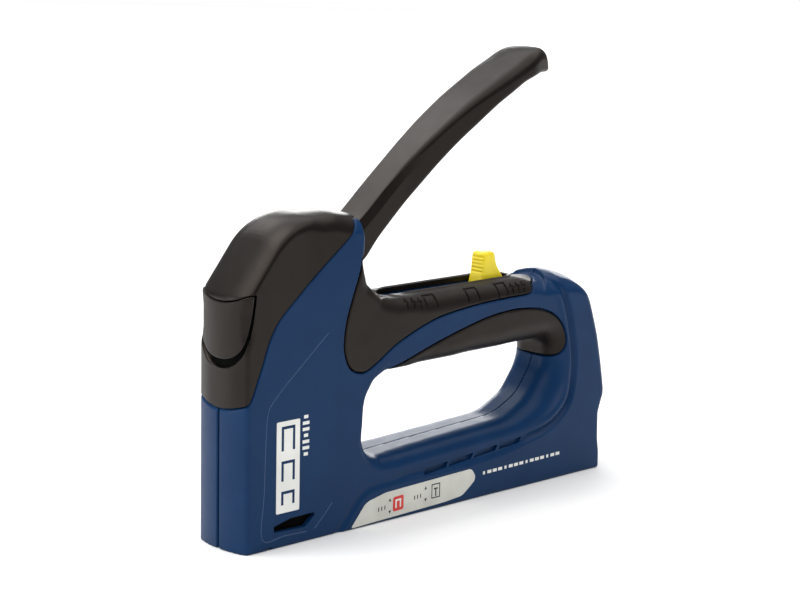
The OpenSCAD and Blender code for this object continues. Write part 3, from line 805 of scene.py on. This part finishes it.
def leaf(name, x0, x1, lift, thickness):
    """Leaf spring: flat over the grip, then falling in a parabola to the driver. In front of
    TONGUE_X it is narrow enough to pass between the plates of the lever's core."""
    rings = []
    for x in np.linspace(x0, x1, 46):
        w = TONGUE_HALF + (LEAF_HALF - TONGUE_HALF) * float(ease((x - TONGUE_X) / 5))
        fall = LEAF_FALL * (min(x - LEAF_BEND, 0) / LEAF_REACH) ** 2
        z, t, r = LEAF_Z - fall + lift, thickness / 2, 0.35
        rings.append([(x, -w + r, z - t), (x, w - r, z - t), (x, w, z - t + r), (x, w, z + t - r),
                      (x, w - r, z + t), (x, -w + r, z + t), (x, -w, z + t - r), (x, -w, z - t + r)])
    faces = [face[::-1] for face in bar_faces(len(rings), 8)]
    return polygons(name, [p for ring in rings for p in ring], faces, 30)


# ---------------------------------------------------------------- materials


class Finish:
    """One Principled material whose colour, roughness and bump come from noise."""

    def __init__(self, name, dark, light, rough, grain, sockets=()):
        self.material = bpy.data.materials.new(name)
        self.material.use_nodes = True
        tree = self.material.node_tree
        self.new, self.link = tree.nodes.new, tree.links.new
        self.shader = tree.nodes["Principled BSDF"]
        self.place = self.new("ShaderNodeTexCoord").outputs["Object"]
        for socket, value in sockets:
            self.shader.inputs[socket].default_value = value
        self.vary("Base Color", grain * 0.12, 5, (*dark, 1), (*light, 1))
        self.vary("Roughness", grain * 0.3, 4, *[(value,) * 3 + (1,) for value in rough])
        self.height = None

    def noise(self, scale, detail=3.0, stretch=None):
        """Noise of about that many features a metre, pulled out along an axis by stretch."""
        place = self.place
        if stretch:
            mapping = self.new("ShaderNodeMapping")
            mapping.inputs["Scale"].default_value = stretch
            self.link(place, mapping.inputs["Vector"])
            place = mapping.outputs["Vector"]
        node = self.new("ShaderNodeTexNoise")
        node.inputs["Scale"].default_value = scale
        node.inputs["Detail"].default_value = detail
        self.link(place, node.inputs["Vector"])
        return node.outputs["Fac"]

    def vary(self, socket, scale, detail, low, high):
        """Runs a socket from low to high over the middle of a noise's range."""
        node = self.new("ShaderNodeValToRGB")
        for element, position, colour in zip(node.color_ramp.elements, (0.35, 0.65), (low, high)):
            element.position = position
            element.color = colour
        self.link(self.noise(scale, detail), node.inputs["Fac"])
        self.link(node.outputs["Color"], self.shader.inputs[socket])

    def bump(self, source, distance):
        """Relief of that height in metres, on top of any that is there."""
        node = self.new("ShaderNodeBump")
        node.inputs["Distance"].default_value = distance
        node.inputs["Strength"].default_value = 1.0
        self.link(source, node.inputs["Height"])
        if self.height:
            self.link(self.height, node.inputs["Normal"])
        self.height = node.outputs["Normal"]
        self.link(self.height, self.shader.inputs["Normal"])
        return self

    def grain(self, scale, distance, detail=2.0, stretch=None):
        return self.bump(self.noise(scale, detail, stretch), distance)

    def bands(self, scale, distance):
        """Even ridges across X."""
        node = self.new("ShaderNodeTexWave")
        node.bands_direction = "X"
        node.inputs["Scale"].default_value = scale
        self.link(self.place, node.inputs["Vector"])
        return self.bump(node.outputs["Fac"], distance)


METAL = (("Metallic", 1.0),)
WARM = (1, .84, .74, 1)
blue = Finish("body_blue", (.0037, .0275, .088), (.0045, .0315, .098), (.3, .35), 600,
              (("Specular IOR Level", .13),))
blue.grain(1500, .00002).grain(5200, .000008)
# Painted highlight: the raised hairlines are a lighter blue than the shells, standing in for the light
# along their edges.
highlight_painted_blue = Finish("highlight_painted_blue", (.013, .05, .135), (.016, .056, .15), (.3, .36), 600)
highlight_painted_blue.grain(5200, .000008)
black = Finish("moulded_black", (.005, .004, .0036), (.0072, .0058, .0052), (.3, .35), 700,
               (("Specular IOR Level", .24), ("Specular Tint", WARM)))
black.grain(2600, .00003).grain(900, .000012)
soft = Finish("grip_black", (.0056, .0046, .0041), (.0082, .0067, .006), (.38, .44), 800,
              (("Specular IOR Level", .24), ("Specular Tint", WARM)))
soft.grain(3400, .00005).grain(1200, .000015)
white = Finish("print_white", (.78, .78, .74), (.86, .86, .83), (.4, .52), 700)
white.grain(3000, .00001)
silver = Finish("label_silver", (.6, .6, .545), (.69, .69, .635), (.34, .46), 900,
                (("Metallic", .12),))
silver.grain(2500, .000008, 2, (.12, 1, 1))
red = Finish("print_red", (.62, .022, .018), (.72, .035, .027), (.35, .45), 900)
red.grain(3000, .00001)
ink = Finish("print_dark", (.012, .014, .02), (.02, .023, .03), (.4, .5), 900)
ink.grain(3000, .00001)
yellow = Finish("slider_yellow", (.96, .74, .016), (.99, .8, .024), (.3, .42), 500,
                (("Subsurface Weight", .15), ("Subsurface Scale", .002)))
yellow.grain(2600, .00002)
steel = Finish("plated_steel", (.5, .5, .51), (.66, .66, .67), (.2, .36), 500, METAL)
steel.grain(1800, .000012, 3, (.08, 1, 1))
spring = Finish("spring_steel", (.16, .17, .2), (.27, .28, .32), (.26, .42), 400, METAL)
spring.grain(2200, .000015, 3, (.06, 1, 1))
rubber = Finish("rubber_black", (.012, .012, .012), (.022, .022, .021), (.6, .8), 600)
rubber.grain(2500, .00006)
# Painted shade: near-black, dull and almost without reflection, for sheets set where the groove round the
# insert and the window's recess fall into shade.
shade_black = Finish("painted_shade_near_black", (.0015, .0014, .0013), (.003, .0028, .0026), (.7, .85), 600,
                     (("Specular IOR Level", .03),))
shade_black.grain(2500, .00003)
wire = Finish("staple_wire", (.58, .58, .59), (.72, .72, .73), (.18, .3), 500, METAL)
wire.bands(250, .00012).grain(2500, .00001)

NODE_FINISH = {
    steel: ["pivot_pin", "nose_plate", "driver_guide", "anchor_pins", "slider_rail",
            "magazine_channel", "core_rivets", "lift_roller", "roller_pin", "driver_blade",
            "fulcrum_shoe", "pusher_rod", "staple_follower", "lever_core"],
    spring: ["spring_anchor", "detent_spring", "pusher_latch"],
    rubber: ["rubber_damper"],
    wire: ["staple_strip"],
}
for finish, names in NODE_FINISH.items():
    for node in [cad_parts[name] for name in names]:
        if not node.data.materials:
            node.data.materials.append(finish.material)
        for place in node.material_slots:
            place.material = finish.material

# ---------------------------------------------------------------- the tool


def add_shells():
    """The two housing shells, each from a little past the seam to its own side."""
    for s, name in ((-1, "left"), (1, "right")):
        y = sorted((-1.2 * s, 15.2 * s))
        mesh = sculpt("shell_" + name, shell_piece(s), (-99.5, y[0], -1.2), (99.5, y[1], 123), 0.66, 0.45)
        add_object(mesh.name, mesh, blue, "housing", "body_blue", "housing_" + name)


def add_sculpted():
    """The other pieces made from fields. Each row: the name and fields, then the box, grid step
    and share of triangles kept, then finish, body, slot and the CAD's node."""
    for name, piece, low, high, step, ratio, finish, body, slot_name, *nodes in (
            ("nose_cap", cap_piece, (-99.5, -15.2, 50), (-34, 15.2, 123), 0.6, 0.5,
             black, "housing", "cap_black", "head_cap"),
            ("nose_insert", insert_piece, (-99.5, -15, 69), (-87, 15, 100), 0.4, 0.5,
             black, "housing", "cap_black", "front_insert"),
            # Painted shade: a near-black sheet in the bottom of the groove round the front insert.
            ("nose_seal", groove_shade_piece, (-99.5, -15, 66), (-87, 15, 100), 0.35, 0.5,
             shade_black, "housing", "rubber_black"),
            ("grip_top", cover_piece, (-51.5, -15.2, 58), (63, 15.2, 107), 0.5, 0.6,
             soft, "housing", "grip_black", "grip_cover"),
            ("grip_under", pad_piece, (-29, -15.2, 49), (75, 15.2, 76), 0.6, 0.5,
             soft, "housing", "grip_black", "grip_pad"),
            ("lever_body", lever_piece, (-50, -13.5, 96), (68.5, 13.5, 179), 0.65, 0.6,
             black, "lever", "grip_black", "lever_shell"),
            ("force_knob", knob_piece, (30.5, -5, 80), (46, 5, 98), 0.25, 0.6,
             yellow, "slider", "slider_yellow", "slider_knob"),
            ("magazine_grip", pusher_piece, (91.5, -8, 0), (98.5, 8, 17.5), 0.3, 0.6,
             black, "pusher", "grip_black", "pusher_knob")):
        mesh = sculpt(name, piece, low, high, step, ratio)
        add_object(name, mesh, finish, body, slot_name, *nodes)


def screw_piece(p):
    """Cross-head screw along Y, at x = z = 0."""
    x, y, z = p.T
    r = np.hypot(x, z)
    head = fillet(np.maximum(r - 3.1, 12.35 - y), y - 13.85 + 0.03 * r ** 2, 0.35)
    cross = np.minimum(np.maximum(np.abs(x) - 0.45, np.abs(z) - 2.0),
                       np.maximum(np.abs(z) - 0.45, np.abs(x) - 2.0))
    stem = np.maximum.reduce([r - 1.5, y - 12.6, -11 - y])
    return np.array([np.minimum(head, stem), -np.maximum(cross, 12.9 - y)])


def add_screws():
    """The five screws, heads on the far side."""
    one = sculpt("screw", screw_piece, (-4, -12, -4), (4, 15, 4), 0.35, 0.5)
    all_of = joined("shell_screws", [moved(one, (x, 0, z)) for x, z in SCREWS])
    add_object("shell_screws", all_of, steel, "housing", "plated_steel", "housing_screws")


def box_shape(x, z, w, h, r=0.0):
    """Rectangle with round corners, given by its middle and size."""
    return rounded([(x - w / 2, z - h / 2, r), (x + w / 2, z - h / 2, r), (x + w / 2, z + h / 2, r),
                    (x - w / 2, z + h / 2, r)])


def staple_shape(x, z, w, h, t):
    """Staple glyph: a crown and two legs, standing at (x, z)."""
    shape = np.array([(-w / 2, 0), (-w / 2 + t, 0), (-w / 2 + t, h - t), (w / 2 - t, h - t),
                      (w / 2 - t, 0), (w / 2, 0), (w / 2, h), (-w / 2, h)])
    return shape + (x, z)


def leaning(shape, x):
    """The shape sheared to rise towards the rear with the label, about x."""
    shape = np.array(shape)
    shape[:, 1] += (shape[:, 0] - x) * 0.04
    return shape


def add_plate(name, shapes, y, thickness, finish, slot_name, *nodes, bevel=0.0):
    """Flat piece on the housing."""
    add_object(name, plate(name, shapes, y, thickness, bevel), finish, "housing", slot_name, *nodes)


def add_labels():
    """Name block, label and prints on both sides."""
    for s, word in ((-1, "left"), (1, "right")):
        add_plate("mark_" + word, [NAME], NAME_Y * s, 0.2, white, "print_white", "name_block_" + word,
                  bevel=0.05)
        glyphs = [staple_shape(-76.5, z, 6.4, h, 1.1) for z, h in ((16, 5.2), (25, 7.6), (36.4, 9.2))]
        add_plate("mark_glyphs_" + word, glyphs, 14.0 * s, 0.02, blue, "body_blue")
        add_plate("label_" + word, [LABEL], LABEL_Y * s, 0.3, silver, "label_silver",
                  "side_label_" + word, bevel=0.06)
        add_prints(s, word)
        add_lines(s, word)


def add_prints(s, word):
    """Plain pictograms on the label and a row of dashes beside it."""
    y = PRINT_Y * s
    square_x = -21.3
    square = leaning(box_shape(square_x, 6.1, 5.6, 5.8, .9), square_x)
    add_plate("print_red_" + word, [square], y, .03, red, "print_white")
    glyphs = [leaning(staple_shape(square_x, 4.4, 3.0, 3.4, .7), square_x)]
    dashes = [box_shape(25.6 + 3.1 * i, 9.8 + .05 * i, 2.3 if i % 4 else 1.2, 1.3) for i in range(15)]
    ticks = [box_shape(-68.1, 33.6 + 2.35 * i, 3.2 if i % 3 else 2, 1.25) for i in range(7)]
    name = "print_light_" + word
    light = joined(name, [plate("glyph", glyphs, y + .03 * s, .02), plate("dashes", dashes, 14.4 * s, .05),
                          plate("ticks", ticks, 13.9 * s, .07)])
    add_object(name, light, white, "housing", "print_white")
    frame_of = [box_shape(-1.2, z, 4.6, .45) for z in (4.7, 10.1)]
    frame_of += [box_shape(x, 7.4, .45, 5.8) for x in (-3.3, .9)]
    nail = [box_shape(-1.2, 6.6, .6, 2.8), box_shape(-1.2, 8.3, 2.2, .6)]
    ticks = [box_shape(x, z, .5, 1.6) for x, z in ((-31.5, 5.4), (-29.9, 5.5), (-28.3, 5.6),
                                                  (-12.6, 6.6), (-11, 6.7), (-9.4, 6.8))]
    arrows = [np.array([(-26.4, 7.5), (-25, 7.6), (-25.7, 8.9)]),
              np.array([(-26.4, 3.9), (-25.7, 2.6), (-25, 4)]),
              np.array([(-7.4, 8.8), (-6, 8.9), (-6.7, 10.2)]),
              np.array([(-7.4, 5.2), (-6.7, 3.9), (-6, 5.3)])]
    add_plate("print_dark_" + word, frame_of + nail + ticks + arrows, y, .03, ink, "print_white")


def add_lines(s, word):
    """Fine raised lines round the name block and window, coloured a lighter blue as a painted highlight,
    and a black plate behind the window as painted shade in its recess.
    """
    lines = [[(-57.7, 77.7), (-64.8, 71.8), (-71.9, 65.8), (-77.5, 61.2), (-81.2, 57.8), (-84.6, 54.4),
              (-86.2, 51), (-87, 42), (-87.6, 22), (-88.4, 4.6), (-78, 4.2), (-67.4, 3.8)],
             [(-63.4, 4.2), (-59, 8.2), (-54.9, 12.5)]]
    wires = [tube("wire", [(x, 13.82 * s, z) for x, z in flowing(line, 4)], .24, 8) for line in lines]
    name = "panel_lines_" + word
    add_object(name, joined(name, wires), highlight_painted_blue, "housing", "body_blue")
    # Painted shade: a near-black plate behind the window darkens its recess as shade would.
    add_plate("window_painted_shade_" + word, [polygon_grown(WINDOW, 1.2)], 11.5 * s, .3, shade_black,
              "rubber_black")


def polygon_grown(outline, by):
    """The outline moved outwards from its middle."""
    middle = outline.mean(0)
    away = outline - middle
    return outline + away / np.linalg.norm(away, axis=1)[:, None] * by


def add_return_spring():
    """Torsion spring round the lever's pivot, with a leg at each end."""
    x, _, z = PIVOT
    radius, half, leg = 4.2, 1.5, 9
    path = [(x + radius, -half, z - leg)] + helix(PIVOT, 1, radius, -half, half, 3)
    torsion = tube("lever_return_spring", path + [(x + radius, half, z + leg)], COIL_WIRE)
    add_object("lever_return_spring", torsion, spring, "housing", "spring_steel", "return_spring")


def add_feed_spring():
    """Coil on the pusher's rod, drawn at one length; in the tool the follower shortens it."""
    low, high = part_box("follower_spring")
    coil = helix((0, 0, ROD_Z), 0, 3.15, low.x / MM + COIL_WIRE, high.x / MM - COIL_WIRE, 16, 20)
    feed = tube("feed_spring", coil, COIL_WIRE, 10)
    piece = add_object("feed_spring", feed, spring, "pusher", "spring_steel", "follower_spring")
    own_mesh(piece)


def add_leaves():
    """The two leaf springs, bending between the housing and the driver."""
    for name, node_name, x0, x1, lift, thickness in (
            ("power_leaf", "main_leaf_spring", -93.1, 71, 0, 2.4),
            ("helper_leaf", "helper_leaf_spring", -58, 71, -2.2, 1.8)):
        mesh = leaf(name, x0, x1, lift, thickness)
        piece = linked(name, mesh)
        mesh.materials.append(spring.material)
        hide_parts(node_name)
        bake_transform(piece)


def add_floor():
    """Plain pale floor."""
    half = 9000
    mesh = polygons("floor", [(-half, -half, 0), (half, -half, 0), (half, half, 0), (-half, half, 0)],
                    [(0, 1, 2, 3)])
    floor = linked("floor", mesh)
    finish = Finish("floor_pale", (.84, .84, .84), (.87, .87, .87), (.85, .95), 4)
    mesh.materials.append(finish.material)


def add_light(name, at, size, power):
    """Softbox that faces the tool and isn't seen by the camera; metres and watts."""
    data = bpy.data.lights.new(name, "AREA")
    data.shape = "RECTANGLE"
    data.size, data.size_y = size
    data.energy = power
    lamp = linked(name, data)
    lamp.location = at
    lamp.rotation_euler = (Vector((0, 0, .07)) - Vector(at)).to_track_quat("-Z", "Y").to_euler()
    lamp.visible_camera = False


def add_studio():
    """Soft white light from all over, with a few softboxes for the highlights."""
    world = bpy.data.worlds.new("studio")
    bpy.context.scene.world = world
    world.use_nodes = True
    world.node_tree.nodes["Background"].inputs["Color"].default_value = (1, 1, 1, 1)
    world.node_tree.nodes["Background"].inputs["Strength"].default_value = .22
    sky = bpy.data.lights.new("overhead", "SUN")
    sky.energy, sky.angle = 3.1, math.radians(100)
    linked("overhead", sky)
    for name, at, size, power in (("back_softbox", (.1, 1.5, 1.3), (1.0, .8), 4.6),
                                  ("low_backdrop", (2.7, 2.86, .95), (2.6, 1.0), 48),
                                  ("top_softbox", (-.4, .2, 1.2), (.5, .9), 6),
                                  ("corner_strip", (-1.0, -.95, .75), (.12, 1.0), .8),
                                  ("nose_strip", (-1.4, .9, .4), (.3, 1.2), 6)):
        add_light(name, at, size, power)
    bpy.context.scene.view_settings.view_transform = "Standard"


def add_camera():
    """Camera at the photo's angle; the angles are in degrees."""
    data = bpy.data.cameras.new("camera")
    data.lens, data.sensor_width = 90, 36
    data.clip_end = 60
    camera = linked("camera", data)
    camera.location = (-.5311, -.5536, .2282)
    camera.rotation_euler = [math.radians(angle) for angle in (79.131, -1.208, -43.087)]
    bpy.context.scene.camera = camera


add_camera()
add_shells()
add_sculpted()
add_screws()
add_labels()
add_return_spring()
add_feed_spring()
add_leaves()
add_floor()
add_studio()
